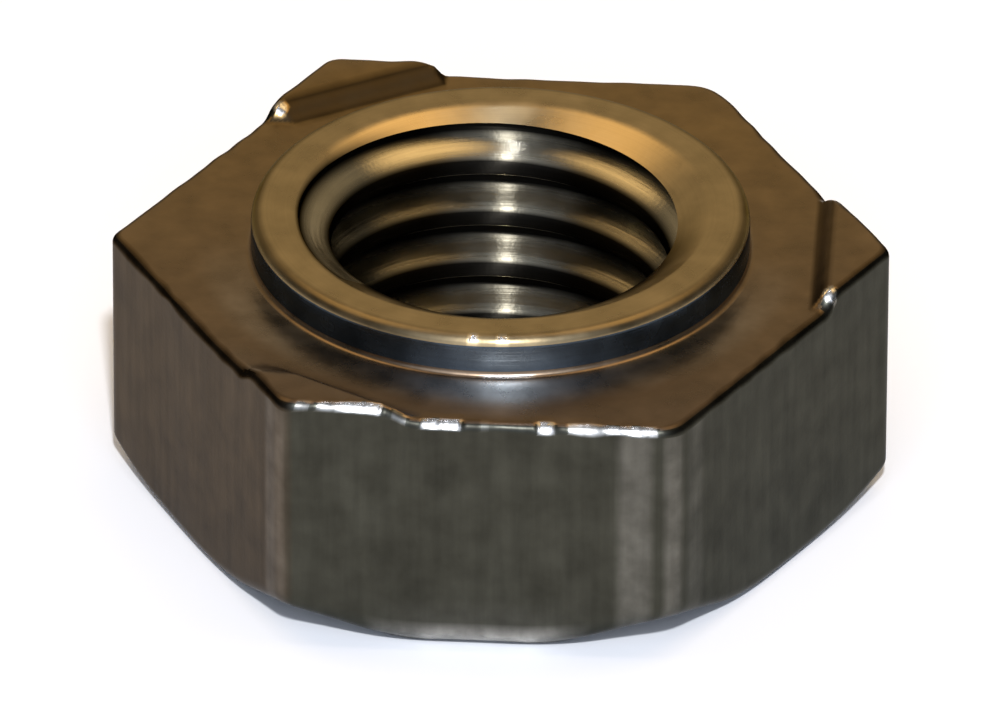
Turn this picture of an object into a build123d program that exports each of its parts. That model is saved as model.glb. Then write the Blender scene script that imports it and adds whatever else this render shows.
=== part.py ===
"""Hex weld nut for an M10 screw: hexagon block, pilot collar and three welding projections.

One cold-formed steel solid. Millimetres, +Z up, origin on the thread axis at the foot.
A corner of the hexagon points along +X, and the collar stands on the upper face.
"""
import os
from math import cos, radians, sin, tan

from build123d import *

# Hexagon block
ACROSS_FLATS = 17.0
BODY_HEIGHT = 6.7             # foot to the upper face, which carries the collar
CORNER_RADIUS = 0.4           # the six upright edges
TOP_EDGE_RADIUS = 0.25        # outer edge of the upper face and of the projections

# Turned foot
FOOT_DIAMETER = 16.0          # where the chamfer meets the resting face
FOOT_CHAMFER_ANGLE = 30.0     # degrees above the resting face
FOOT_EDGE_RADIUS = 0.3        # softens the ring between chamfer and resting face
FOOT_BLEND_RADIUS = 0.3       # where the chamfer runs out into the flats

# Pilot collar, which centres the nut in the hole of the sheet
PILOT_DIAMETER = 12.5
PILOT_HEIGHT = 1.1
PILOT_RIM_RADIUS = 0.3
PILOT_ROOT_RADIUS = 0.15

# Welding projections, on every second corner
PROJECTION_COUNT = 3
PROJECTION_HEIGHT = 0.4
PROJECTION_REACH = 3.0        # along each flat, from the sharp corner to the inner face's foot
PROJECTION_FACE_ANGLE = 65.0  # slope of the inner face above the upper face, in degrees
PROJECTION_EDGE_RADIUS = 0.15

# Bore, at the tapping size of the thread
BORE_DIAMETER = 8.5
MOUTH_DIAMETER = 10.6
MOUTH_ANGLE = 120.0           # included angle of the countersink at each end

# Sizes that follow from those above
HEX_CORNER_DISTANCE = ACROSS_FLATS / 2 / cos(radians(30))
FULL_HEIGHT = BODY_HEIGHT + PILOT_HEIGHT
MOUTH_DEPTH = (MOUTH_DIAMETER - BORE_DIAMETER) / 2 / tan(radians(MOUTH_ANGLE / 2))
CUT_MARGIN = 1.0              # how far a trimming shape runs past the face that it trims
MATCH_MARGIN = 1e-6           # how near a size has to be for an edge to be the one looked for


def hex_prism(height):
    """A hexagon block from the foot up to a height, with rounded corners and upper edge."""
    prism = extrude(RegularPolygon(HEX_CORNER_DISTANCE, 6), height)
    prism = fillet(prism.edges().filter_by(Axis.Z), CORNER_RADIUS)
    return fillet(prism.faces().sort_by(Axis.Z)[-1].edges(), TOP_EDGE_RADIUS)


def foot_envelope():
    """The turned shape that trims the lower corners of the hexagon."""
    slope = tan(radians(FOOT_CHAMFER_ANGLE))
    foot = FOOT_DIAMETER / 2
    outer = HEX_CORNER_DISTANCE + CUT_MARGIN
    top = FULL_HEIGHT + CUT_MARGIN
    profile = Polyline((0, 0), (foot, 0), (outer, (outer - foot) * slope), (outer, top), (0, top), (0, 0))
    turned = revolve(make_face(Plane.XZ * profile), Axis.Z)
    foot_ring = turned.edges().filter_by(GeomType.CIRCLE).sort_by(Axis.Z)[0]
    return fillet(foot_ring, FOOT_EDGE_RADIUS)


def footed_block():
    """The hexagon block with its turned foot, and the curved edges between the two rounded."""
    block = hex_prism(BODY_HEIGHT) & foot_envelope()
    lower = block.edges().filter_by(lambda edge: edge.center().Z < BODY_HEIGHT / 2)
    straight = lower.filter_by(GeomType.LINE) + lower.filter_by(GeomType.CIRCLE)
    return fillet(lower - straight, FOOT_BLEND_RADIUS)


def corner_region(angle):
    """The block that holds one corner of the hexagon, with the projection's inner face and brow."""
    step_distance = HEX_CORNER_DISTANCE - PROJECTION_REACH * cos(radians(60))
    half_width = PROJECTION_REACH * sin(radians(60)) + CUT_MARGIN
    outer = HEX_CORNER_DISTANCE + CUT_MARGIN
    low = -TOP_EDGE_RADIUS - CUT_MARGIN
    lean = 1 / tan(radians(PROJECTION_FACE_ANGLE))
    outline = Polyline(
        (step_distance + low * lean, low),
        (outer, low),
        (outer, PROJECTION_HEIGHT),
        (step_distance + PROJECTION_HEIGHT * lean, PROJECTION_HEIGHT),
        (step_distance + low * lean, low),
    )
    profile = make_face(outline)
    brow = profile.vertices().group_by(Axis.Y)[-1].sort_by(Axis.X)[0]
    profile = fillet(brow, PROJECTION_EDGE_RADIUS)
    block = extrude(Plane.XZ * profile, half_width, both=True)
    return Rot(0, 0, angle) * Pos(0, 0, BODY_HEIGHT) * block


def welding_projection(angle):
    """One raised corner: the hexagon block carried up, within the corner's own region."""
    return hex_prism(BODY_HEIGHT + PROJECTION_HEIGHT) & corner_region(angle)


def pilot_collar():
    """The turned collar from halfway down the block up, with its rounded rim."""
    low = BODY_HEIGHT / 2
    collar = extrude(Circle(PILOT_DIAMETER / 2), FULL_HEIGHT - low)
    collar = Pos(0, 0, low) * collar
    return fillet(collar.edges().sort_by(Axis.Z)[-1], PILOT_RIM_RADIUS)


def bore():
    """The through hole with a countersunk mouth at each end."""
    small = BORE_DIAMETER / 2
    wide = MOUTH_DIAMETER / 2 + CUT_MARGIN * tan(radians(MOUTH_ANGLE / 2))
    profile = Polyline(
        (0, -CUT_MARGIN),
        (wide, -CUT_MARGIN),
        (small, MOUTH_DEPTH),
        (small, FULL_HEIGHT - MOUTH_DEPTH),
        (wide, FULL_HEIGHT + CUT_MARGIN),
        (0, FULL_HEIGHT + CUT_MARGIN),
        (0, -CUT_MARGIN),
    )
    return revolve(make_face(Plane.XZ * profile), Axis.Z)


def weld_nut():
    """The whole nut as one solid."""
    nut = footed_block() + pilot_collar()
    level = nut.edges().filter_by(GeomType.CIRCLE).filter_by_position(
        Axis.Z, BODY_HEIGHT - MATCH_MARGIN, BODY_HEIGHT + MATCH_MARGIN
    )
    root = level.filter_by(lambda edge: abs(edge.radius - PILOT_DIAMETER / 2) < MATCH_MARGIN)
    nut = fillet(root, PILOT_ROOT_RADIUS)
    for index in range(PROJECTION_COUNT):
        nut += welding_projection(index * 360 / PROJECTION_COUNT)
    return nut - bore()


os.makedirs("parts", exist_ok=True)
nut = weld_nut()
export_step(nut, "parts/weld_nut.step")
print(f"volume {nut.volume:.1f} mm3, solids {len(nut.solids())}, faces {len(nut.faces())}")
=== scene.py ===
"""Looks of a hex weld nut: a cold-formed steel block with a pilot collar, three welding
projections and a tapped M10 thread.

Sizes in the classes are millimetres, and meshes are written in metres. The thread axis is Z.
"""
import logging
from dataclasses import dataclass, field
from enum import Enum
from math import ceil, cos, pi, radians, sin, tan
from typing import Any

import bpy
import numpy as np
from mathutils import Matrix, Vector


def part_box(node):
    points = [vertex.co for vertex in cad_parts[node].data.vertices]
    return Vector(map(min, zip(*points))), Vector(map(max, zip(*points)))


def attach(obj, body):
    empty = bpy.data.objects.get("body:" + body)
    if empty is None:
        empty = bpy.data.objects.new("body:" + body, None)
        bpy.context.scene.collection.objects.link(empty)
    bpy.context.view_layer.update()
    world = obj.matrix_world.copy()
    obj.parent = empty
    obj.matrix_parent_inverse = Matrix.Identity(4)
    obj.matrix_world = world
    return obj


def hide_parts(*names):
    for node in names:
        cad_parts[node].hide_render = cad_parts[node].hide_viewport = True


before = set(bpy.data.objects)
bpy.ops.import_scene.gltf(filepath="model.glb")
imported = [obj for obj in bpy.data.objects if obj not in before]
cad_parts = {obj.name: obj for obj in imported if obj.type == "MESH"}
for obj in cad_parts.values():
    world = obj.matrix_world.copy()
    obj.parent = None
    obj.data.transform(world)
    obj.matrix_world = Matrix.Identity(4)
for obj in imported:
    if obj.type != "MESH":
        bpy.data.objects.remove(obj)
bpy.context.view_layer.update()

MM = 0.001
CAD_NODE = "weld_nut"
BODY = "root"
# Share painted per point: above nought a lighter colour, partly real rubbing and partly painted highlight;
# below nought a near-black colour, partly old oil and partly painted shade
WEAR_AND_LIGHT = "polish"
SKIN = "skin"
CORNER_STEP = radians(60)
TO_FLAT = radians(30)
PROJECTION_STEP = radians(120)
MOUTH_ROWS = 2
NOISE_SPAN = (0.3, 0.7)

Array = np.ndarray
Ring = tuple[Array, Array]
Tree = bpy.types.NodeTree
Socket = bpy.types.NodeSocket
Material = bpy.types.Material

log = logging.getLogger("weld_nut")


class Skin(Enum):
    """How a part of the surface was made. The value is the number that its faces carry."""

    DRAWN = 0
    PRESSED = 1
    BURNISHED = 2
    TURNED = 3
    TAPPED = 4


class Marks(Enum):
    """Which way the fine marks of the tool run."""

    UPRIGHT = "upright"
    RINGS = "rings"


def linear(code: str) -> tuple[float, float, float, float]:
    """Turns an sRGB hex colour into the linear values that shaders use.

    Args:
        code: the colour as six hex digits, with or without a leading hash.

    Returns:
        Red, green, blue and an alpha of one.
    """
    digits = code.lstrip("#")
    parts = [int(digits[start:start + 2], 16) / 255 for start in (0, 2, 4)]
    red, green, blue = (
        part / 12.92 if part <= 0.04045 else ((part + 0.055) / 1.055) ** 2.4 for part in parts
    )
    return red, green, blue, 1.0


def add_node(
    tree: Tree, kind: str, inputs: dict[str | int, Any] | None = None, **settings: Any
) -> bpy.types.Node:
    """Adds one node to a tree, sets its properties and fills its inputs.

    Args:
        tree: the shader or geometry tree that gets the node.
        kind: the node's type name.
        inputs: socket names or numbers, each with a value or a socket to link from.
        settings: the node's properties by name.

    Returns:
        The new node.
    """
    node = tree.nodes.new(kind)
    for name, value in settings.items():
        setattr(node, name, value)
    for key, value in (inputs or {}).items():
        if isinstance(value, Socket):
            tree.links.new(value, node.inputs[key])
        else:
            node.inputs[key].default_value = value
    return node


def ripple(angle: Array, seed: int, lobes: range, size: float) -> Array:
    """A closed wavy line of fixed random lobes, for edges that no die leaves quite even.

    Args:
        angle: where to read the line, in radians.
        seed: picks the lobes' phases and shares.
        lobes: the numbers of waves in one turn.
        size: the line's typical height.

    Returns:
        The height at each angle, above and below zero.
    """
    draw = np.random.default_rng(seed)
    phases = draw.uniform(0, 2 * pi, len(lobes))
    shares = draw.uniform(0.5, 1.0, len(lobes))
    waves = sum(share * np.sin(lobe * angle + phase) for lobe, phase, share in zip(lobes, phases, shares))
    return size * waves / np.sqrt(np.sum(shares**2) / 2)


def smooth_floor(value: Array, floor: float, blend: float) -> Array:
    """Keeps a line above a floor, with a rounded turn in place of the corner.

    Args:
        value: the line.
        floor: the level that it stays above.
        blend: the height over which the turn is rounded.

    Returns:
        The limited line.
    """
    near = np.clip(blend - np.abs(value - floor), 0, None) / blend
    return np.maximum(value, floor) + near**2 * blend / 4


@dataclass
class Hexagon:
    """The outline of the block, with each upright edge rounded as the die left it.

    Corners are numbered anticlockwise from the one on +X.
    """

    across_flats: float
    corner_radii: tuple[float, ...] = (0.4, 1.4, 0.5, 0.4, 0.6, 0.9)
    flat_waviness: float = 0.004

    def corner_distance(self) -> float:
        """The distance from the axis to a corner before it is rounded."""
        return self.across_flats / 2 / cos(TO_FLAT)

    def corner_of(self, angle: Array) -> tuple[Array, Array]:
        """The number of the corner that each angle lies nearest to, and the angle from it."""
        number = np.round(angle / CORNER_STEP)
        return number.astype(int) % 6, angle - number * CORNER_STEP

    def radius(self, angle: Array) -> Array:
        """The outline's distance from the axis.

        Args:
            angle: angles about the axis, in radians.

        Returns:
            The radius at each angle.
        """
        number, offset = self.corner_of(angle)
        rounding = np.asarray(self.corner_radii)[number]
        half = self.across_flats / 2
        centre = (half - rounding) / cos(TO_FLAT)
        turn_in = TO_FLAT - np.arctan((half - rounding) * tan(TO_FLAT) / half)
        flat = half / np.cos(TO_FLAT - np.abs(offset))
        under = np.clip(rounding**2 - (centre * np.sin(offset)) ** 2, 0, None)
        arc = centre * np.cos(offset) + np.sqrt(under)
        outline = np.where(np.abs(offset) < turn_in, arc, flat)
        wave = ripple(angle, seed=11, lobes=range(5, 19), size=self.flat_waviness)
        return outline - self.flat_waviness - np.clip(wave, -self.flat_waviness, None)


@dataclass
class Projections:
    """The three raised corners that melt into the sheet when the nut is welded.

    No two came out alike: each inner face has its own shift along its corner's direction, its
    own turn about the axis and its own steepness. From a few degrees before its corner, one end
    of the last one slumped to a gentler angle. A worn end is a raised corner's number, the
    bearing that its facet climbs in, and how far along that bearing the facet starts.
    """

    corner_distance: float
    height: float = 0.4
    reach: float = 3.0
    shifts: tuple[float, ...] = (-0.4, -0.5, -0.3)
    skews: tuple[float, ...] = (0.5, 1.0, 0.0)
    face_angles: tuple[float, ...] = (50.0, 38.0, 50.0)
    worn_angle: float = 52.0
    brow_blend: float = 0.2
    root_blend: float = 0.16
    slump_angle: float = 14.0
    slump_corner: float = 240.0
    slump_start: float = 3.0
    slump_blend: float = 10.0
    slump_width: float = 60.0
    worn_ends: tuple[tuple[int, float, float], ...] = ((0, 92.0, -2.7), (1, 92.0, 5.93), (1, 180.0, 1.97))
    stations: tuple[float, ...] = (-0.12, -0.05, 0.0, 0.05, 0.1, 0.16, 0.22, 0.28, 0.34, 0.4, 0.5, 0.8)

    def nearest(self, angle: Array) -> tuple[Array, Array, Array]:
        """Finds the raised corner that each angle lies nearest to.

        Args:
            angle: angles about the axis, in radians.

        Returns:
            The corner's number, the angle from its inner face's own direction, and the
            distance from the axis to the line where that face starts.
        """
        turns = np.round(angle / PROJECTION_STEP)
        number = turns.astype(int) % 3
        offset = angle - turns * PROJECTION_STEP - np.radians(np.asarray(self.skews))[number]
        start = self.corner_distance - self.reach * cos(CORNER_STEP) + np.asarray(self.shifts)[number]
        return number, offset, start

    def lift(self, angle: Array, radius: Array) -> Array:
        """How far the surface stands above the upper face.

        Args:
            angle: angles about the axis, in radians.
            radius: distances from the axis, of the same shape.

        Returns:
            The height at each point.
        """
        number, offset, start = self.nearest(angle)
        degrees = np.degrees(angle)
        slumped = np.clip((self.slump_corner - self.slump_start - degrees) / self.slump_blend, 0, 1)
        slumped *= degrees > self.slump_corner - self.slump_width
        steepness = np.asarray(self.face_angles)[number]
        slope = np.tan(np.radians(steepness + (self.slump_angle - steepness) * slumped))
        rising = (radius * np.cos(offset) - start) * slope
        for corner, bearing, distance in self.worn_ends:
            facet = (radius * np.cos(angle - radians(bearing)) - distance) * tan(radians(self.worn_angle))
            rising = np.where(number == corner, np.minimum(rising, facet), rising)
        rising = smooth_floor(rising, 0.0, self.root_blend)
        return self.height - smooth_floor(self.height - rising, 0.0, self.brow_blend)

    def rings(self, angle: Array, limit: Array) -> list[Array]:
        """The radii where a projection's face needs points, from the outside in, none past a limit."""
        _, offset, start = self.nearest(angle)
        return [np.minimum((start + station) / np.cos(offset), limit) for station in reversed(self.stations)]


@dataclass
class Collar:
    """The turned pilot collar with its rounded rim and its small root fillet.

    The die burnished the wall as far as the first row of the rim.
    """

    radius: float = 6.25
    height: float = 1.1
    rim_radius: float = 0.3
    root_radius: float = 0.15
    root_rings: int = 4
    rim_rings: int = 8
    burnished_rows: int = 3
    top_shares: tuple[float, ...] = (0.5, 0.88, 1.0)


@dataclass
class Foot:
    """The turned foot that the nut rests on, cut further in at some corners than at others.

    Its chamfer would meet the resting face at the radius, if one rounding did not run over both
    edges of the chamfer. The rounding swells towards -Y, where the foot is worn most.
    """

    radius: float = 8.5
    chamfer_angle: float = 30.0
    rounding: float = 0.4
    swell: float = 0.5
    blend: float = 0.4
    corner_cuts: tuple[float, ...] = (0.0, 0.3, 0.3, 0.0, 0.85, 0.95)
    tread_rings: int = 4
    edge_rings: int = 4
    chamfer_rings: int = 9


@dataclass
class Bore:
    """The tapped bore, from one countersunk mouth to the other.

    The groove turns right-handed. Its depth follows from five rows of flank on each side, so
    that every line of the thread falls on a row of the mesh.
    """

    height: float
    pitch: float = 1.5
    crest_radius: float = 4.25
    mouth_radius: float = 5.3
    mouth_half_angle: float = 60.0
    flank_angle: float = 30.0
    groove_height: float = 6.83
    rows_per_pitch: int = 16
    flank_rows: int = 5
    root_rows: int = 2
    lip: float = 0.08
    crest_blend: float = 0.16
    weld_distance: float = 0.002
    sharp_angle: float = 50.0

    def flank_slope(self) -> float:
        """Radial depth gained for each step along the axis on a flank."""
        return 1 / tan(radians(self.flank_angle))

    def root_radius(self) -> float:
        """The radius at the bottom of the groove."""
        return self.crest_radius + self.flank_rows * self.pitch / self.rows_per_pitch * self.flank_slope()

    def first_groove(self) -> float:
        """The height of the groove at angle zero, brought down to the foot or just below."""
        return self.groove_height - self.pitch * ceil(self.groove_height / self.pitch)

    def rows(self) -> int:
        """Rows of faces that the wall needs so that its spiral covers both mouths."""
        span = self.height + self.pitch - self.first_groove()
        return ceil(span / self.pitch * self.rows_per_pitch) + 2 * MOUTH_ROWS

    def sizes(self) -> dict[str, float]:
        """The sizes that the thread's tree takes, in metres and radians.

        Returns:
            Each size by its input's name, where a count is a whole number.
        """
        lengths = {
            "Pitch": self.pitch,
            "Crest Radius": self.crest_radius,
            "Root Radius": self.root_radius(),
            "Root Flat": self.root_rows * self.pitch / self.rows_per_pitch,
            "Mouth Radius": self.mouth_radius,
            "Height": self.height,
            "First Groove": self.first_groove(),
            "Lip": self.lip,
            "Crest Blend": self.crest_blend,
            "Weld Distance": self.weld_distance,
        }
        return {name: length * MM for name, length in lengths.items()} | {
            "Rows": self.rows(),
            "Rows per Pitch": self.rows_per_pitch,
            "Flank Slope": self.flank_slope(),
            "Mouth Slope": tan(radians(self.mouth_half_angle)),
            "Sharp Angle": radians(self.sharp_angle),
        }


@dataclass
class WearAndPaintedLight:
    """Painted highlights and painted shade on the nut, with the real wear of its rubbed front edge.

    Shares run from one, a lighter colour, through nought to minus one, near black. The front
    edge's stretches are partly worn facets and partly painted highlight; the bands beside a corner
    are painted reflections of the room; the step ends, the rim glints and the root glint are
    painted highlights, the foot glint is a painted reflection of the floor, and the ring on the
    upper face near the collar is a painted highlight. The negative shares on the other upper
    edges, in the gaps between the front stretches, in the projections' creases, round the rim and
    on its far side are painted shade. A stretch is a start, an end and a share. Stretches of the
    front edge run along X, bands run up the flats beside a corner, measured anticlockwise from it,
    and rim glints are angles on the rim. A glint is a stretch of angles. The foot's is its
    bearing, its width and the share that is left at its upper end. Slopes say how fast a share
    sets in and ends, and a core how wide it stays full.
    """

    # Partly worn facets and partly painted highlight along the front upper edge
    front_edge: tuple[tuple[float, float, float], ...] = (
        (-4.60, -4.20, 0.3), (-4.05, -3.60, 0.5), (-3.55, -2.42, 1.0), (-2.15, -1.80, 0.3),
        (-1.40, -0.42, 1.0), (0.05, 0.30, 0.08), (0.30, 1.45, 0.03), (1.50, 1.90, 1.0),
        (2.25, 3.20, 0.6), (3.15, 4.45, 1.0),
    )
    # Painted reflections of the room in bands up the flats beside a corner
    painted_reflection_bands: tuple[tuple[int, float, float, float], ...] = (
        (4, -0.80, 0.07, 0.07),
        (5, -1.40, -0.60, 0.09),
        (5, -0.25, 0.30, 0.11),
        (5, 0.62, 1.20, 0.04),
    )
    # Painted highlights at the projections' step ends and at two places on the rim
    step_ends: tuple[tuple[float, float], ...] = ((8.36, -2.14), (-5.98, 6.0))
    step_reach: float = 0.22
    rim_glints: tuple[float, ...] = (267.4, 274.2)
    rim_glint_width: float = 1.0
    rim_glint_core: float = 1.5
    facet: float = 0.8
    # Painted shade on the upper edges off the front, in the gaps between the front stretches, in the
    # projections' creases and round the rim
    edge_shade: float = -0.8
    gap_shade: float = -0.6
    crease_shade: tuple[float, ...] = (-0.55, -0.88, 0.0)
    rim_shade: float = -0.6
    # A painted highlight at the collar's root, and a painted reflection of the floor on the front of the
    # foot
    root_glint: tuple[float, float, float] = (270.0, 281.0, 0.6)
    foot_glint: tuple[float, float, float] = (270.0, 11.0, 0.03)
    foot_core: float = 1.7
    # A painted highlight ring on the upper face near the collar, at the front
    ring_share: float = 0.22
    ring_radii: tuple[float, float] = (7.7, 7.2)
    ring_slope: float = 1.5
    crease_slopes: tuple[float, float] = (16.0, 10.0)
    gap_slope: float = 20.0
    chatter: float = 0.3
    most_chatter: float = 0.7
    front_depth: float = 0.25
    front_blend: float = 0.15
    end_blend: float = 0.1
    band_blend: float = 0.22
    glint_blend: float = 2.0
    rim_arch: tuple[float, ...] = (0.0, 0.5, 0.9, 1.0, 1.0, 0.9, 0.5, 0.0)
    # Painted shade on the rim's outer rows, on its far side
    far_rings: int = 3
    far_reach: float = 0.4

    def stretch(self, place: Array, start: float, end: float, blend: float) -> Array:
        """A share that is one inside a stretch and fades out over a blend at each end."""
        inside = np.minimum(place - start, end - place) / blend
        return np.clip(inside + 0.5, 0, 1)


@dataclass(frozen=True)
class OiledSteel:
    """Low-carbon steel under a film of drying oil, as one kind of tool left it.

    The oil gives bare steel a straw to bronze tone, which the eye reads as the colour of its
    reflections, because a metal has no other; on the pressed and turned skins that tone is partly
    painted warm reflection of the room. Mottling is oil that dried unevenly. The marks are the
    tool's, and they draw each highlight out across them. A positive share paints a lighter colour,
    partly real rubbing and partly painted highlight, and a negative share paints a near-black one,
    partly old oil and partly painted shade. The tone drifts to a second one on one side.
    """

    name: str
    colour: str
    roughness: float
    marks: Marks
    mark_mm: float
    mark_height_mm: float
    mark_shade: float
    mottle_shade: float
    edge_tint: str = "#ffffff"
    drift_colour: str | None = None
    drift_bearing: float = 0.0
    drift_mm: tuple[float, float] = (0.0, 1.0)
    spread: float = 0.0
    # Painted colours: a lighter one for rubbed places and painted highlights, and a near-black one with a
    # darker edge tint for old oil and painted shade
    rubbed_and_highlight_colour: str = "#d0ccc4"
    rubbed_roughness: float = 0.22
    oil_and_shade_colour: str = "#1c1a16"
    oil_roughness: float = 0.42
    oil_and_shade_edge_tint: str = "#5a544c"
    mottle_mm: float = 0.9
    grain_mm: float = 0.12
    grain_height_mm: float = 0.002
    burr_mm: float = 0.2
    burr_height_mm: float = 0.012
    peened_above: float = 0.5
    stretch: float = 0.08
    rub_mottle: float = 0.25
    gloss_mottle: float = 0.15

    def shade(self, tree: Tree, pattern: Socket, strength: float) -> Socket:
        """Turns a pattern into a factor that darkens and lightens about one.

        Args:
            tree: the material's tree.
            pattern: the noise to follow.
            strength: how far the factor leaves one.

        Returns:
            The factor's socket.
        """
        names = ("From Min", "From Max", "To Min", "To Max")
        sockets = dict(zip(names, (*NOISE_SPAN, 1 - strength, 1 + strength)), Value=pattern)
        return add_node(tree, "ShaderNodeMapRange", sockets).outputs[0]

    def mark_place(self, tree: Tree, place: Socket) -> Socket:
        """The coordinates in which the tool's marks are plain noise.

        Args:
            tree: the material's tree.
            place: the object's own coordinates.

        Returns:
            The coordinates' socket.
        """
        if self.marks is Marks.UPRIGHT:
            drawn = {"Vector": place, "Scale": (1, 1, self.stretch)}
            return add_node(tree, "ShaderNodeMapping", drawn).outputs[0]
        flat = add_node(tree, "ShaderNodeVectorMath", {0: place, 1: (1, 1, 0)}, operation="MULTIPLY")
        reach = add_node(tree, "ShaderNodeVectorMath", {0: flat.outputs[0]}, operation="LENGTH")
        height = add_node(tree, "ShaderNodeSeparateXYZ", {0: place}).outputs["Z"]
        return add_node(tree, "ShaderNodeCombineXYZ", {"X": reach.outputs["Value"], "Y": height}).outputs[0]

    def patterns(self, tree: Tree, place: Socket) -> dict[str, Socket]:
        """The noises that the finish is made of.

        Args:
            tree: the material's tree.
            place: the object's own coordinates.

        Returns:
            Each noise's socket by name, mostly between 0.3 and 0.7.
        """
        plan = {
            "marks": (self.mark_place(tree, place), self.mark_mm, 3.0),
            "mottle": (place, self.mottle_mm, 5.0),
            "grain": (place, self.grain_mm, 2.0),
            "burr": (place, self.burr_mm, 1.0),
        }
        found = {}
        for name, (way, size_mm, detail) in plan.items():
            sockets = {"Vector": way, "Scale": 1 / (size_mm * MM), "Detail": detail}
            found[name] = add_node(tree, "ShaderNodeTexNoise", sockets).outputs["Fac"]
        return found

    def relief(self, tree: Tree, patterns: dict[str, Socket], polish: Socket) -> Socket:
        """Bumps of the grain, the tool's marks and the peened metal of rubbed edges.

        Args:
            tree: the material's tree.
            patterns: the finish's noises.
            polish: the share of the lighter colour, partly real rubbing and partly painted highlight.

        Returns:
            The bent normal's socket.
        """
        sockets: dict[str, Any] = {"Value": polish, "From Min": self.peened_above}
        peened = add_node(tree, "ShaderNodeMapRange", sockets).outputs[0]
        burr = add_node(tree, "ShaderNodeMath", {0: patterns["burr"], 1: peened}, operation="MULTIPLY")
        layers = (
            (patterns["grain"], self.grain_height_mm),
            (patterns["marks"], self.mark_height_mm),
            (burr.outputs[0], self.burr_height_mm),
        )
        sockets = {}
        for height, size_mm in layers:
            if size_mm > 0:
                sockets.update({"Height": height, "Distance": size_mm * MM})
                sockets["Normal"] = add_node(tree, "ShaderNodeBump", sockets).outputs[0]
        return sockets["Normal"]

    def metal(self, tree: Tree, place: Socket, polish: Socket, oil_and_shade: Socket) -> Socket:
        """The colour of the bare metal, lightened by rubbing and painted highlight and darkened by old oil
        and painted shade, before the patterns shade it.

        Args:
            tree: the material's tree.
            place: the object's own coordinates.
            polish: the share of the lighter colour, partly real rubbing and partly painted highlight.
            oil_and_shade: the share of the near-black colour, partly old oil and partly painted shade.

        Returns:
            The colour's socket.
        """
        colour: Any = linear(self.colour)
        layers = [(polish, self.rubbed_and_highlight_colour), (oil_and_shade, self.oil_and_shade_colour)]
        if self.drift_colour:
            turn = radians(self.drift_bearing)
            toward = {0: place, 1: (cos(turn), sin(turn), 0)}
            reach = add_node(tree, "ShaderNodeVectorMath", toward, operation="DOT_PRODUCT")
            start, end = self.drift_mm
            sockets = {"Value": reach.outputs["Value"], "From Min": start * MM, "From Max": end * MM}
            drifted = add_node(tree, "ShaderNodeMapRange", sockets).outputs[0]
            layers.insert(0, (drifted, self.drift_colour))
        for share, over in layers:
            sockets = {"Factor": share, 6: colour, 7: linear(over)}
            colour = add_node(tree, "ShaderNodeMix", sockets, data_type="RGBA").outputs[2]
        return colour

    def gloss(self, tree: Tree, mottle: Socket, polish: Socket, oil_and_shade: Socket) -> Socket:
        """The roughness, which the mottling makes uneven.

        Args:
            tree: the material's tree.
            mottle: the noise of unevenly dried oil.
            polish: the share of the lighter colour, partly real rubbing and partly painted highlight.
            oil_and_shade: the share of the near-black colour, partly old oil and partly painted shade.

        Returns:
            The roughness socket.
        """
        rough: Any = self.roughness
        for share, over in ((polish, self.rubbed_roughness), (oil_and_shade, self.oil_roughness)):
            sockets = {0: share, 2: rough, 3: over}
            rough = add_node(tree, "ShaderNodeMix", sockets, data_type="FLOAT").outputs[0]
        uneven = self.shade(tree, mottle, self.gloss_mottle)
        return add_node(tree, "ShaderNodeMath", {0: rough, 1: uneven}, operation="MULTIPLY").outputs[0]

    def build(self) -> Material:
        """Builds the finish's node tree.

        Returns:
            The material.
        """
        material = bpy.data.materials.new(self.name)
        material.use_nodes = True
        tree = material.node_tree
        tree.nodes.clear()
        place = add_node(tree, "ShaderNodeTexCoord").outputs["Object"]
        patterns = self.patterns(tree, place)
        mottle = patterns["mottle"]
        # The painted share: its positive part lightens towards the rubbed colour, partly real wear and
        # partly painted highlight, and its negative part darkens towards near black, partly old oil and
        # partly painted shade
        even = add_node(tree, "ShaderNodeAttribute", attribute_name=WEAR_AND_LIGHT).outputs["Fac"]
        uneven = self.shade(tree, mottle, self.rub_mottle)
        polish = add_node(tree, "ShaderNodeMath", {0: even, 1: uneven}, operation="MULTIPLY").outputs[0]
        oil_and_shade = add_node(tree, "ShaderNodeMath", {0: even, 1: -1.0}, operation="MULTIPLY").outputs[0]
        stain = self.shade(tree, mottle, self.mottle_shade)
        trace = self.shade(tree, patterns["marks"], self.mark_shade)
        tone = add_node(tree, "ShaderNodeMath", {0: stain, 1: trace}, operation="MULTIPLY").outputs[0]
        scaled = {0: self.metal(tree, place, polish, oil_and_shade), "Scale": tone}
        around = {0: (0, 0, 1), 1: place}
        tints = {"Factor": oil_and_shade, 6: linear(self.edge_tint), 7: linear(self.oil_and_shade_edge_tint)}
        sockets = {
            "Base Color": add_node(tree, "ShaderNodeVectorMath", scaled, operation="SCALE").outputs[0],
            "Metallic": 1.0,
            "Roughness": self.gloss(tree, mottle, polish, oil_and_shade),
            "Specular Tint": add_node(tree, "ShaderNodeMix", tints, data_type="RGBA").outputs[2],
            "Anisotropic": self.spread,
            "Anisotropic Rotation": 0.25,
            "Normal": self.relief(tree, patterns, polish),
            "Tangent": add_node(tree, "ShaderNodeVectorMath", around, operation="CROSS_PRODUCT").outputs[0],
        }
        shader = add_node(tree, "ShaderNodeBsdfPrincipled", sockets)
        add_node(tree, "ShaderNodeOutputMaterial", {"Surface": shader.outputs[0]})
        return material


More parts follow.
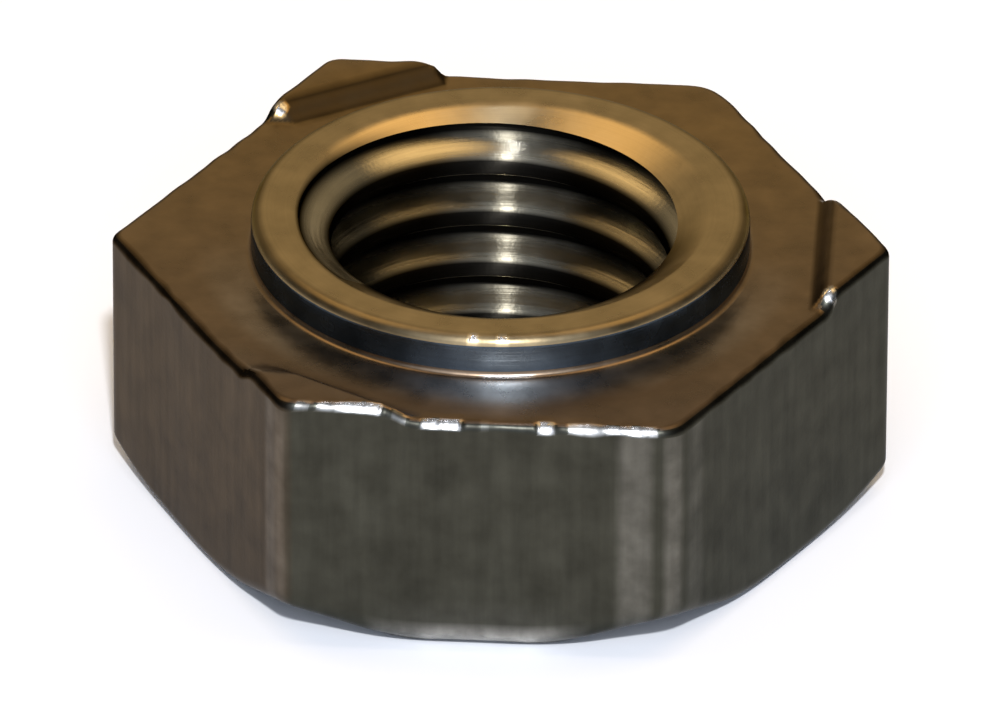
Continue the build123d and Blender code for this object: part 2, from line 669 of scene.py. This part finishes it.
FINISHES = {
    # Drawn bar keeps its dark skin, with faint streaks the way it was drawn
    Skin.DRAWN: OiledSteel(
        "drawn_steel_dark", "#3e3e37", roughness=0.34, marks=Marks.UPRIGHT, mark_mm=0.3,
        mark_height_mm=0.003, mark_shade=0.12, mottle_shade=0.2, edge_tint="#c8c8c8",
        drift_colour="#4c4236", drift_bearing=210, drift_mm=(8.2, 8.45),
    ),
    # A flat punch leaves the upper face dull and even, and the oil on it dries to bronze. The bronze is
    # partly painted warm reflection of the room behind, and the drift to a darker tone towards the front is
    # painted shade
    Skin.PRESSED: OiledSteel(
        "pressed_steel_oiled_painted_warm", "#93794f", roughness=0.3, marks=Marks.UPRIGHT, mark_mm=0.6,
        mark_height_mm=0.0, mark_shade=0.04, mottle_shade=0.14,
        drift_colour="#7c6a58", drift_bearing=270, drift_mm=(-6.0, 7.5),
    ),
    # The die slides along these walls and burnishes them; their bluish grey is painted cool reflection of
    # the room in front
    Skin.BURNISHED: OiledSteel(
        "burnished_steel_painted_cool", "#4e5964", roughness=0.26, marks=Marks.RINGS, mark_mm=0.07,
        mark_height_mm=0.003, mark_shade=0.05, mottle_shade=0.1, edge_tint="#b8b8b8",
    ),
    # A single-point tool leaves fine rings, so highlights run across them; the gold tone is partly painted
    # warm reflection of the room
    Skin.TURNED: OiledSteel(
        "turned_steel_oiled_painted_warm", "#b8a27a", roughness=0.3, marks=Marks.RINGS, mark_mm=0.07,
        mark_height_mm=0.003, mark_shade=0.05, mottle_shade=0.12, edge_tint="#e0dccc", spread=0.3,
    ),
    # The tap rubs the flanks bright, and the crests and roots are painted near black: painted shade of the
    # grooves, given as cutting oil
    Skin.TAPPED: OiledSteel(
        "tapped_steel_oiled", "#aea58e", roughness=0.18, marks=Marks.RINGS, mark_mm=0.08,
        mark_height_mm=0.008, mark_shade=0.06, mottle_shade=0.1, spread=1.0,
    ),
}


@dataclass
class WeldNut:
    """The nut: a shell of rings from mouth to mouth, and the threaded wall between them.

    A ring is the radius and the height of one point in each column. Each column's angle, the
    hexagon's radius there, its upper edge's rounding and its edge share are worked out once. Where a
    row is given a share, it is above nought for a lighter colour, partly real rubbing and partly
    painted highlight, and below nought for a near-black one, partly old oil and partly painted shade.
    """

    hexagon: Hexagon
    projections: Projections
    collar: Collar
    foot: Foot
    bore: Bore
    wear_and_light: WearAndPaintedLight
    body_height: float
    edge_radius: float = 0.25
    edge_waviness: float = 0.02
    least_edge_radius: float = 0.12
    edge_steps: int = 7
    edge_margin: float = 0.04
    flat_steps: int = 8
    face_steps: int = 8
    level_share: float = 0.8
    columns: int = 600
    angle: Array = field(init=False)
    reach: Array = field(init=False)
    edge: Array = field(init=False)
    edge_share: Array = field(init=False)

    def __post_init__(self) -> None:
        """Works out what is the same for every ring."""
        self.angle = np.arange(self.columns) * 2 * pi / self.columns
        self.reach = self.hexagon.radius(self.angle)
        wave = ripple(self.angle, seed=5, lobes=range(7, 60, 4), size=self.edge_waviness)
        self.edge = np.clip(self.edge_radius + wave, self.least_edge_radius, None)
        self.edge_share = self.edge_light_and_wear()

    def foot_rings(self) -> list[Ring]:
        """Rings of the resting face, its rounded edge and the chamfer.

        Returns:
            The rings, from the mouth outwards.
        """
        foot, chamfer, level = self.foot, radians(self.foot.chamfer_angle), 0 * self.angle
        rounding = foot.rounding + foot.swell * np.clip(-np.sin(self.angle), 0, 1) ** 4
        number, offset = self.hexagon.corner_of(self.angle)
        radius = foot.radius - np.asarray(foot.corner_cuts)[number] * np.cos(3 * offset) ** 2
        wall = self.reach - rounding
        tread = -smooth_floor(rounding * tan(chamfer / 2) - radius, -wall, foot.blend)
        rise = (wall - radius) * tan(chamfer) + rounding / cos(chamfer)
        rise = smooth_floor(rise, rounding, foot.blend)
        mouth = self.bore.mouth_radius
        rings = [(mouth + (tread - mouth) * share, level) for share in np.linspace(0, 1, foot.tread_rings)]
        for turn in np.linspace(-pi / 2, chamfer - pi / 2, foot.edge_rings + 1)[1:]:
            rings.append((tread + rounding * cos(turn), rounding + rounding * sin(turn)))
        for turn in np.linspace(chamfer - pi / 2, 0, foot.chamfer_rings):
            rings.append((wall + rounding * cos(turn), rise + rounding * sin(turn)))
        return rings

    def edge_light_and_wear(self) -> Array:
        """The upper edge's share: partly worn facets and partly painted highlight on the front flat,
        with painted shade in the gaps between them and on the other edges.

        Returns:
            The share at each column.
        """
        wear_and_light = self.wear_and_light
        across, forward = self.reach * np.cos(self.angle), -self.reach * np.sin(self.angle)
        edge_share = [
            share * wear_and_light.stretch(across, start, end, wear_and_light.end_blend) for start, end, share in wear_and_light.front_edge
        ]
        chatter = ripple(self.angle, seed=23, lobes=range(90, 240, 7), size=wear_and_light.chatter)
        bright_share = np.max(edge_share, axis=0) * (1 + np.clip(chatter, -wear_and_light.most_chatter, 0))
        # Painted shade in the gaps between the bright stretches
        front = bright_share + wear_and_light.gap_shade * np.clip(1 - wear_and_light.gap_slope * bright_share, 0, 1)
        depth = forward - self.hexagon.across_flats / 2 + wear_and_light.front_depth
        on_front = np.clip(depth / wear_and_light.front_blend, 0, 1)
        # Painted shade along the upper edges off the front flat
        return on_front * front + (1 - on_front) * wear_and_light.edge_shade

    def side_rings(self, low: Array) -> list[Ring]:
        """Rings of the flats and of the rounded upper edge, worn towards a facet.

        Args:
            low: the height where the foot's rounding ends.

        Returns:
            The rings, from the foot upwards.
        """
        limit = self.reach - self.edge
        top = self.body_height + self.projections.lift(self.angle, limit) - self.edge
        last = top - self.edge_margin
        rings = [
            (self.reach, low + (last - low) * share) for share in np.linspace(0, 1, self.flat_steps + 1)[1:]
        ]
        rings.append((self.reach, top))
        flat = self.wear_and_light.facet * np.clip(self.edge_share, 0, 1)
        for share in np.linspace(0, 1, self.edge_steps + 1)[1:]:
            inward = flat * share + (1 - flat) * (1 - cos(share * pi / 2))
            upward = flat * share + (1 - flat) * sin(share * pi / 2)
            rings.append((self.reach - self.edge * inward, top + self.edge * upward))
        return rings

    def face_rings(self) -> list[Ring]:
        """Rings of the upper face and of the projections' inner faces.

        Returns:
            The rings, from the rounded upper edge inwards.
        """
        radii = self.projections.rings(self.angle, self.reach - self.edge)
        root = self.collar.radius + self.collar.root_radius
        inner = radii[-1]
        radii += [inner + (root - inner) * share for share in np.linspace(0, 1, self.face_steps + 1)[1:]]
        return [(radius, self.body_height + self.projections.lift(self.angle, radius)) for radius in radii]

    def collar_rings(self) -> list[Ring]:
        """Rings of the collar, from its root fillet over the rim to the mouth.

        Returns:
            The rings, from the root inwards.
        """
        wall, root, rim = self.collar.radius, self.collar.root_radius, self.collar.rim_radius
        top, inner, mouth = self.body_height + self.collar.height, wall - rim, self.bore.mouth_radius
        rings = []
        for turn in np.radians(np.linspace(0, 90, self.collar.root_rings + 1))[1:]:
            rings.append((wall + root - root * sin(turn), self.body_height + root * (1 - cos(turn))))
        rings.append((wall, (self.body_height + root + top - rim) / 2))
        for turn in np.radians(np.linspace(0, 90, self.collar.rim_rings)):
            rings.append((inner + rim * cos(turn), top - rim + rim * sin(turn)))
        rings += [(inner + (mouth - inner) * share, top) for share in self.collar.top_shares]
        return [(radius + 0 * self.angle, height + 0 * self.angle) for radius, height in rings]

    def wear_and_light_sides(self, rows: int) -> Array:
        """The shares of the foot, the flats and the upper edge, with painted reflections on the flats and
        the foot.

        Args:
            rows: how many rows of points they have.

        Returns:
            The share at each point.
        """
        wear_and_light, foot = self.wear_and_light, self.foot
        share = np.zeros((rows, self.columns))
        steps = np.linspace(0, 1, self.edge_steps + 1)
        share[-len(steps):] = np.clip(3 * np.minimum(steps, 1 - steps), 0, 1)[:, None] * self.edge_share
        half = self.hexagon.across_flats / 2
        # Painted reflections of the room in bands up the flats beside a corner
        for corner, start, end, strength in wear_and_light.painted_reflection_bands:
            offset = (self.angle - corner * CORNER_STEP + pi) % (2 * pi) - pi
            along = np.sign(offset) * half * (tan(TO_FLAT) - np.tan(TO_FLAT - np.abs(offset)))
            band = strength * wear_and_light.stretch(along, start, end, wear_and_light.band_blend)
            share[: -self.edge_steps] += band * (np.abs(offset) < TO_FLAT)
        # Painted reflection of the floor on the front of the foot's chamfer
        bearing, width, last = wear_and_light.foot_glint
        glint = np.clip(wear_and_light.foot_core - np.abs(np.degrees(self.angle) - bearing) / width, 0, 1)
        glint = np.linspace(1, last, foot.chamfer_rings)[:, None] * glint
        first = foot.tread_rings + foot.edge_rings
        chamfer = share[first : first + foot.chamfer_rings]
        chamfer[:] = np.maximum(chamfer, glint)
        return share

    def wear_and_light_face(self, points: Array) -> Array:
        """The shares of the upper face and the projections' inner faces: a painted highlight and painted
        shade.

        Args:
            points: their points in millimetres, by row and column.

        Returns:
            The share at each point.
        """
        wear_and_light = self.wear_and_light
        # A painted highlight ring on the upper face near the collar, at the front
        outer, inner = wear_and_light.ring_radii
        radius = np.hypot(points[..., 0], points[..., 1])
        ring = np.clip((outer - radius) / (outer - inner), 0, 1)
        ring *= np.clip(-wear_and_light.ring_slope * np.sin(self.angle), 0, 1)
        # Painted shade in the projections' creases
        raised = np.clip((points[..., 2] - self.body_height) / self.projections.height, 0, 1)
        set_in, end = wear_and_light.crease_slopes
        inner_face = np.clip(set_in * raised, 0, 1) * np.clip(end * (1 - raised), 0, 1)
        number, _, _ = self.projections.nearest(self.angle)
        return wear_and_light.ring_share * ring + inner_face * np.asarray(wear_and_light.crease_shade)[number]

    def wear_and_light_collar(self, rows: int) -> Array:
        """The shares of the collar: painted highlights at its root and on the rim, and painted shade round
        the rim.

        Args:
            rows: how many rows of points it has.

        Returns:
            The share at each point.
        """
        wear_and_light, degrees = self.wear_and_light, np.degrees(self.angle)
        share = np.zeros((rows, self.columns))
        # A painted highlight at the front of the collar's root
        start, end, strength = wear_and_light.root_glint
        share[:2] = strength * wear_and_light.stretch(degrees, start, end, wear_and_light.glint_blend)
        # Painted highlights at two places on the rim, and painted shade round the rest of it
        away = np.min([np.abs(degrees - nick) for nick in wear_and_light.rim_glints], axis=0)
        glinting = np.clip(wear_and_light.rim_glint_core - away / wear_and_light.rim_glint_width, 0, 1)
        rim = share[self.collar.root_rings + 1 :][: self.collar.rim_rings]
        rim[:] = np.array(wear_and_light.rim_arch)[:, None] * (glinting + (1 - glinting) * wear_and_light.rim_shade)
        # Painted shade on the rim's outer rows, on its far side
        outer = rim[: wear_and_light.far_rings]
        outer[:] = np.minimum(outer, -np.clip(np.sin(self.angle) + wear_and_light.far_reach, 0, 1))
        return share

    def polish(self, points: Array, side_rows: int, face_rows: int) -> Array:
        """The share at each point of the shell: real rubbing and painted highlight above nought, old oil and
        painted shade below.

        Args:
            points: the shell's points in millimetres, by row and column.
            side_rows: rows of points up to the end of the rounded upper edge.
            face_rows: rows of points from there to the collar's foot.

        Returns:
            The share at each point.
        """
        top = side_rows + face_rows
        sides, face = self.wear_and_light_sides(side_rows), self.wear_and_light_face(points[side_rows:top])
        share = np.concatenate((sides, face, self.wear_and_light_collar(len(points) - top)))
        # Painted highlights at the projections' step ends
        above = slice(side_rows - self.edge_steps, None)
        for x, y in self.wear_and_light.step_ends:
            away = np.hypot(points[above, :, 0] - x, points[above, :, 1] - y)
            near = np.clip(3 - 3 * away / self.wear_and_light.step_reach, 0, 1)
            share[above] += near * (1 - share[above])
        return share

    def skins(self, points: Array, side_rows: int, face_rows: int) -> Array:
        """Which skin each face of the shell has.

        Args:
            points: the shell's points, by row and column.
            side_rows: rows of points up to the end of the rounded upper edge.
            face_rows: rows of points from there to the collar's foot.

        Returns:
            The skin's number for each face, by row and column.
        """
        beside = np.roll(points, -1, axis=1)
        normal = np.cross(beside[1:] - points[:-1], points[1:] - beside[:-1])
        # Upward faces of the flats and edges take the pressed skin, whose bronze is partly painted warm
        # reflection
        level = normal[..., 2] > self.level_share * np.linalg.norm(normal, axis=-1)
        skins = np.full(level.shape, Skin.TURNED.value)
        skins[:side_rows] = np.where(level[:side_rows], Skin.PRESSED.value, Skin.DRAWN.value)
        wall = side_rows + face_rows + self.collar.root_rings - 1
        skins[side_rows:wall] = Skin.PRESSED.value
        # The collar wall takes the burnished skin, whose bluish grey is painted cool reflection
        skins[wall : wall + self.collar.burnished_rows] = Skin.BURNISHED.value
        return skins

    def shell(self) -> bpy.types.Object:
        """Builds the outer surface, open at the two mouths.

        Returns:
            The shell's object.
        """
        foot = self.foot_rings()
        side = foot + self.side_rings(foot[-1][1])
        face = self.face_rings()
        rings = side + face + self.collar_rings()
        radius, height = np.array(rings).transpose(1, 0, 2)
        points = np.stack((radius * np.cos(self.angle), radius * np.sin(self.angle), height), axis=-1)
        first = np.arange(radius.size).reshape(radius.shape)
        after = np.roll(first, -1, axis=1)
        faces = np.stack((first[:-1], after[:-1], after[1:], first[1:]), axis=-1).reshape(-1, 4)
        mesh = bpy.data.meshes.new("weld_nut_shell")
        mesh.from_pydata((points * MM).reshape(-1, 3).tolist(), [], faces.tolist())
        skins = self.skins(points, len(side), len(face)).ravel().astype(np.int32)
        polish = self.polish(points, len(side), len(face)).ravel()
        for layer in ((SKIN, "INT", "FACE", skins), (WEAR_AND_LIGHT, "FLOAT", "POINT", polish)):
            mesh.attributes.new(*layer[:3]).data.foreach_set("value", layer[3])
        shell = bpy.data.objects.new("weld_nut_dressed", mesh)
        bpy.context.scene.collection.objects.link(shell)
        return shell

    def thread_tree(self, sizes: dict[str, float], materials: dict[Skin, Material]) -> Tree:
        """Builds the tree that taps the bore and sews its wall to the shell.

        Args:
            sizes: the thread's sizes by name, each of which becomes an input.
            materials: the material of each skin.

        Returns:
            The Geometry Nodes tree.
        """
        tree = bpy.data.node_groups.new("tapped_bore", "GeometryNodeTree")
        tree.interface.new_socket("Shell", in_out="INPUT", socket_type="NodeSocketGeometry")
        for name, size in sizes.items():
            kind = "NodeSocketInt" if isinstance(size, int) else "NodeSocketFloat"
            tree.interface.new_socket(name, in_out="INPUT", socket_type=kind)
        tree.interface.new_socket("Nut", in_out="OUTPUT", socket_type="NodeSocketGeometry")
        given = add_node(tree, "NodeGroupInput").outputs
        values: dict[str, Any] = {name: given[name] for name in sizes}
        values["index"] = add_node(tree, "GeometryNodeInputIndex").outputs[0]
        for name, sign, *operands in TAP_STEPS:
            inputs = {place: values.get(operand, operand) for place, operand in enumerate(operands)}
            operation = SIGNS.get(sign, sign)
            values[name] = add_node(tree, "ShaderNodeMath", inputs, operation=operation).outputs[0]
        axes = {number: values[axis] for number, axis in enumerate("xyz")}
        point = add_node(tree, "ShaderNodeCombineXYZ", axes)
        at_points = {"data_type": "FLOAT", "domain": "POINT"}
        skin = add_node(tree, "GeometryNodeFieldOnDomain", {0: values["skin"]}, **at_points).outputs[0]
        turn = add_node(tree, "GeometryNodeInputMeshEdgeAngle").outputs["Unsigned Angle"]
        turned = {0: turn, 1: values["Sharp Angle"]}
        sharp = add_node(tree, "FunctionNodeCompare", turned, data_type="FLOAT", operation="GREATER_THAN")
        marked = add_node(tree, "GeometryNodeInputNamedAttribute", {"Name": SKIN}, data_type="INT")
        count = {"Vertices X": values["columns and one"], "Vertices Y": values["rows and one"]}
        surface = add_node(tree, "GeometryNodeMeshGrid", count).outputs["Mesh"]
        steps: list[tuple[str, dict, dict]] = [
            ("GeometryNodeSetPosition", {"Position": point.outputs[0]}, {}),
            (
                "GeometryNodeStoreNamedAttribute",
                {"Name": SKIN, "Value": skin},
                {"data_type": "INT", "domain": "FACE"},
            ),
            ("GeometryNodeStoreNamedAttribute", {"Name": WEAR_AND_LIGHT, "Value": values["polish"]}, at_points),
            ("GeometryNodeFlipFaces", {}, {}),
            ("GeometryNodeJoinGeometry", {}, {}),
            ("GeometryNodeMergeByDistance", {"Distance": values["Weld Distance"]}, {}),
            ("GeometryNodeSetShadeSmooth", {2: True}, {"domain": "FACE"}),
            ("GeometryNodeSetShadeSmooth", {1: sharp.outputs[0], 2: False}, {"domain": "EDGE"}),
            ("GeometryNodeRealizeInstances", {}, {}),
        ]
        for kind, material in materials.items():
            match = {2: marked.outputs["Attribute"], 3: kind.value}
            chosen = add_node(tree, "FunctionNodeCompare", match, data_type="INT", operation="EQUAL")
            dress = {"Selection": chosen.outputs[0], "Material": material}
            steps.append(("GeometryNodeSetMaterial", dress, {}))
        for step, inputs, settings in steps:
            node = add_node(tree, step, inputs, **settings)
            if step == "GeometryNodeJoinGeometry":
                tree.links.new(given["Shell"], node.inputs[0])
            tree.links.new(surface, node.inputs[0])
            surface = node.outputs[0]
        add_node(tree, "NodeGroupOutput", {0: surface})
        return tree

    def build(self, materials: dict[Skin, Material]) -> bpy.types.Object:
        """Makes the whole nut as one closed mesh.

        Args:
            materials: the material of each skin.

        Returns:
            The nut's object, at the origin.
        """
        nut = self.shell()
        sizes = {"Columns": self.columns} | self.bore.sizes()
        tree = self.thread_tree(sizes, materials)
        modifier = nut.modifiers.new("tap", "NODES")
        modifier.node_group = tree
        for item in tree.interface.items_tree:
            if item.in_out == "INPUT" and item.name in sizes:
                modifier[item.identifier] = sizes[item.name]
        view = bpy.context.evaluated_depsgraph_get()
        plain = bpy.data.meshes.new_from_object(nut.evaluated_get(view))
        nut.modifiers.remove(modifier)
        nut.data = plain
        return nut


SIGNS = {"+": "ADD", "-": "SUBTRACT", "*": "MULTIPLY", "/": "DIVIDE"}

# Each end of the thread: its name, the height of its mouth, the operations that go outwards and
# inwards, how its last whole turn is found, and the inner and the outer of two heights
TAP_ENDS = (
    ("upper", "Height", "+", "-", "FLOOR", "MINIMUM", "MAXIMUM"),
    ("lower", 0.0, "-", "+", "CEIL", "MAXIMUM", "MINIMUM"),
)

# Each step is a value's name, a sign or an operation, and its operands: earlier names or numbers
TAP_STEPS = (
    # Column and row of each point of the grid
    ("columns and one", "+", "Columns", 1.0),
    ("rows and one", "+", "Rows", 1.0),
    ("column part", "/", "index", "rows and one"),
    ("column", "FLOOR", "column part"),
    ("points before", "*", "column", "rows and one"),
    ("row", "-", "index", "points before"),
    ("turn", "/", "column", "Columns"),
    ("angle", "*", "turn", 2 * pi),
    # The groove climbs one pitch in a turn, and each row climbs beside it
    ("climb", "*", "turn", "Pitch"),
    ("groove", "+", "First Groove", "climb"),
    ("row step", "/", "Pitch", "Rows per Pitch"),
    ("row rise", "*", "row", "row step"),
    ("lip rows", "*", "row step", MOUTH_ROWS),
    ("below", "+", "Pitch", "lip rows"),
    ("base", "-", "groove", "below"),
    ("free height", "+", "base", "row rise"),
    # Where the countersink cuts the root and the crest, measured down from a mouth
    ("root depth", "-", "Mouth Radius", "Root Radius"),
    ("root run", "/", "root depth", "Mouth Slope"),
    ("crest depth", "-", "Mouth Radius", "Crest Radius"),
    ("crest run", "/", "crest depth", "Mouth Slope"),
    ("half root run", "*", "root run", 0.5),
    ("half flat", "*", "Root Flat", 0.5),
    # Where the last groove's outer flank meets the countersink, at each end
    *(
        (f"{end} {name}", *step)
        for end, mouth, outwards, inwards, whole, inner, outer in TAP_ENDS
        for name, *step in (
            ("root", inwards, mouth, "root run"),
            ("crest", inwards, mouth, "crest run"),
            ("reach", outwards, f"{end} root", "half flat"),
            ("gap", "-", f"{end} reach", "groove"),
            ("turns", "/", f"{end} gap", "Pitch"),
            ("whole", whole, f"{end} turns"),
            ("steps", "*", f"{end} whole", "Pitch"),
            ("groove", "+", "groove", f"{end} steps"),
            ("edge", outwards, f"{end} groove", "half flat"),
            ("sum", "+", f"{end} edge", mouth),
            ("mean", "*", f"{end} sum", 0.5),
            ("flank", inwards, f"{end} mean", "half root run"),
            ("cut", inner, f"{end} root", f"{end} flank"),
            ("end", outer, f"{end} crest", f"{end} cut"),
        )
    ),
    # Rows stop at the two ends, and two more rows at each end make the countersink
    ("stopped low", "MAXIMUM", "free height", "lower end"),
    ("thread height", "MINIMUM", "stopped low", "upper end"),
    ("is low", "LESS_THAN", "row", MOUTH_ROWS - 0.5),
    ("low height", "*", "row", "Lip"),
    ("rows left", "-", "Rows", "row"),
    ("is high", "LESS_THAN", "rows left", MOUTH_ROWS - 0.5),
    ("high drop", "*", "rows left", "Lip"),
    ("high height", "-", "Height", "high drop"),
    ("low change", "-", "low height", "thread height"),
    ("with low", "MULTIPLY_ADD", "is low", "low change", "thread height"),
    ("high change", "-", "high height", "with low"),
    ("z", "MULTIPLY_ADD", "is high", "high change", "with low"),
    # Radius: the deeper of thread and countersink
    ("from groove", "-", "z", "groove"),
    ("half pitch", "*", "Pitch", 0.5),
    ("to groove", "PINGPONG", "from groove", "half pitch"),
    ("past flat", "-", "to groove", "half flat"),
    ("on flank", "MAXIMUM", "past flat", 0.0),
    ("flank loss", "*", "on flank", "Flank Slope"),
    ("flank radius", "-", "Root Radius", "flank loss"),
    ("thread radius", "SMOOTH_MAX", "flank radius", "Crest Radius", "Crest Blend"),
    ("from top", "-", "Height", "z"),
    ("from mouth", "MINIMUM", "z", "from top"),
    ("cone loss", "*", "from mouth", "Mouth Slope"),
    ("cone radius", "-", "Mouth Radius", "cone loss"),
    ("radius", "MAXIMUM", "thread radius", "cone radius"),
    ("cosine", "COSINE", "angle"),
    ("sine", "SINE", "angle"),
    ("x", "*", "radius", "cosine"),
    ("y", "*", "radius", "sine"),
    # The two rows at each end are the countersink, which is turned and not tapped
    ("is mouth", "+", "is low", "is high"),
    ("mouth change", "*", "is mouth", Skin.TURNED.value - Skin.TAPPED.value),
    ("skin", "+", "mouth change", Skin.TAPPED.value),
    # Painted shade on the crest and in the root, given as old oil
    ("groove depth", "-", "Root Radius", "Crest Radius"),
    ("depth", "-", "radius", "Crest Radius"),
    ("depth share", "/", "depth", "groove depth"),
    ("root share", "-", 1.0, "depth share"),
    ("nearer", "MINIMUM", "depth share", "root share"),
    ("past oil", "-", "nearer", 0.1),
    ("flank share", "*", "past oil", 6.0),
    ("kept share", "MINIMUM", "flank share", 1.0),
    ("plain share", "MAXIMUM", "kept share", 0.0),
    ("crest and root shade", "-", "plain share", 1.0),
    ("is thread", "-", 1.0, "is mouth"),
    ("polish", "*", "crest and root shade", "is thread"),
)


@dataclass(frozen=True)
class Glow:
    """A wide soft patch of light in the room.

    Its bearing is in degrees anticlockwise from the camera's side, seen from above. It fades
    from its middle to nothing at its spread, in degrees. One unit of radiance looks white.
    """

    bearing: float
    rise: float
    spread: float
    radiance: float
    colour: str


@dataclass(frozen=True)
class Lamp:
    """A round soft lamp that faces the nut, at a bearing and a rise as a glow has them.

    Its size is its diameter in millimetres, and its radiance is how bright the lamp itself
    looks, where one is white.
    """

    name: str
    bearing: float
    rise: float
    size: float
    radiance: float
    colour: str


@dataclass
class Studio:
    """A plain pale floor, a flash, a ceiling lamp, soft glows, and a long lens that looks down."""

    lens: float = 687.6
    distance: float = 480.0
    elevation: float = 31.31
    azimuth: float = 3.66
    roll: float = 0.23
    target_height: float = 3.54
    floor_size: float = 3000.0
    floor_drop: float = 0.01
    lamp_distance: float = 600.0
    lamps: tuple[Lamp, ...] = (
        Lamp("flash", 2, 44, 30, 1500, "#f2f6ff"),
        Lamp("ceiling", 3, 84, 30, 50, "#dfe8ff"),
    )
    room: str = "#4c5054"
    glows: tuple[Glow, ...] = (
        Glow(180, 25, 75, 0.34, "#ffe0a8"),
        Glow(104, 64, 26, 2.0, "#ffd898"),
        Glow(-110, 60, 25, 1.7, "#ffd898"),
        Glow(0, 30, 45, 2.3, "#dde8ff"),
        Glow(0, 88, 25, 0.05, "#b8d0ff"),
    )

    def toward(self, bearing: float, rise: float) -> tuple[float, float, float]:
        """The unit vector from the nut to a place in the room, by its bearing and rise in degrees."""
        turn, lift = radians(self.azimuth + bearing), radians(rise)
        return sin(turn) * cos(lift), -cos(turn) * cos(lift), sin(lift)

    def camera(self) -> None:
        """Places the camera and makes it the scene's own."""
        data = bpy.data.cameras.new("camera")
        data.lens = self.lens
        data.clip_start = 0.01
        camera = bpy.data.objects.new("camera", data)
        bpy.context.scene.collection.objects.link(camera)
        back = Vector(self.toward(0, self.elevation))
        right = Vector((cos(radians(self.azimuth)), sin(radians(self.azimuth)), 0))
        turned = Matrix.Rotation(radians(self.roll), 3, back) @ right
        place = Matrix((turned, back.cross(turned), back)).transposed().to_4x4()
        place.translation = (Vector((0, 0, self.target_height)) + back * self.distance) * MM
        camera.matrix_world = place
        bpy.context.scene.camera = camera

    def floor(self) -> None:
        """Lays the floor just under the foot."""
        mesh = bpy.data.meshes.new("floor")
        half, drop = self.floor_size / 2 * MM, -self.floor_drop * MM
        corners = [(-half, -half, drop), (half, -half, drop), (half, half, drop), (-half, half, drop)]
        mesh.from_pydata(corners, [], [(0, 1, 2, 3)])
        floor = bpy.data.objects.new("floor", mesh)
        bpy.context.scene.collection.objects.link(floor)
        material = bpy.data.materials.new("white_paper")
        material.use_nodes = True
        shader = material.node_tree.nodes["Principled BSDF"]
        shader.inputs["Base Color"].default_value = linear("#f4f4f4")
        shader.inputs["Roughness"].default_value = 0.9
        mesh.materials.append(material)

    def hang(self, plan: Lamp) -> None:
        """Hangs one lamp.

        Args:
            plan: the lamp's name, place, size and light.
        """
        data = bpy.data.lights.new(plan.name, "AREA")
        data.shape = "DISK"
        data.size = plan.size * MM
        data.energy = plan.radiance * pi * pi * (plan.size * MM / 2) ** 2
        data.color = linear(plan.colour)[:3]
        lamp = bpy.data.objects.new(plan.name, data)
        bpy.context.scene.collection.objects.link(lamp)
        toward = Vector(self.toward(plan.bearing, plan.rise))
        lamp.location = toward * self.lamp_distance * MM
        lamp.rotation_euler = toward.to_track_quat("Z", "Y").to_euler()

    def world(self) -> None:
        """Sets the room that the metal mirrors: a dim cool grey with a few wide soft glows."""
        world = bpy.data.worlds.new("room")
        world.use_nodes = True
        tree = world.node_tree
        way = add_node(tree, "ShaderNodeTexCoord").outputs["Generated"]
        light: Any = linear(self.room)[:3]
        for glow in self.glows:
            toward = {0: way, 1: self.toward(glow.bearing, glow.rise)}
            near = add_node(tree, "ShaderNodeVectorMath", toward, operation="DOT_PRODUCT").outputs["Value"]
            fade = {"Value": near, "From Min": cos(radians(glow.spread)), "To Max": glow.radiance}
            share = add_node(tree, "ShaderNodeMapRange", fade, interpolation_type="SMOOTHSTEP").outputs[0]
            tint = {0: linear(glow.colour)[:3], "Scale": share}
            added = add_node(tree, "ShaderNodeVectorMath", tint, operation="SCALE").outputs[0]
            light = add_node(tree, "ShaderNodeVectorMath", {0: light, 1: added}, operation="ADD").outputs[0]
        tree.links.new(light, tree.nodes["Background"].inputs["Color"])
        bpy.context.scene.world = world


def main() -> None:
    """Builds the nut and its studio, piece by piece."""
    low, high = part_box(CAD_NODE)
    height = (high.z - low.z) / MM
    hexagon = Hexagon(across_flats=(high.y - low.y) / MM)
    collar = Collar()
    nut = WeldNut(
        hexagon=hexagon,
        projections=Projections(hexagon.corner_distance()),
        collar=collar,
        foot=Foot(),
        bore=Bore(height),
        wear_and_light=WearAndPaintedLight(),
        body_height=height - collar.height,
    )
    piece = nut.build({skin: finish.build() for skin, finish in FINISHES.items()})
    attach(piece, BODY)
    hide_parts(CAD_NODE)
    log.info("nut: %d faces", len(piece.data.polygons))
    studio = Studio()
    studio.camera()
    studio.floor()
    for lamp in studio.lamps:
        studio.hang(lamp)
    studio.world()
    bpy.context.scene.view_settings.view_transform = "Standard"
    log.info("studio set")


if __name__ == "__main__":
    logging.basicConfig(level=logging.INFO, format="%(name)s: %(message)s")
    main()
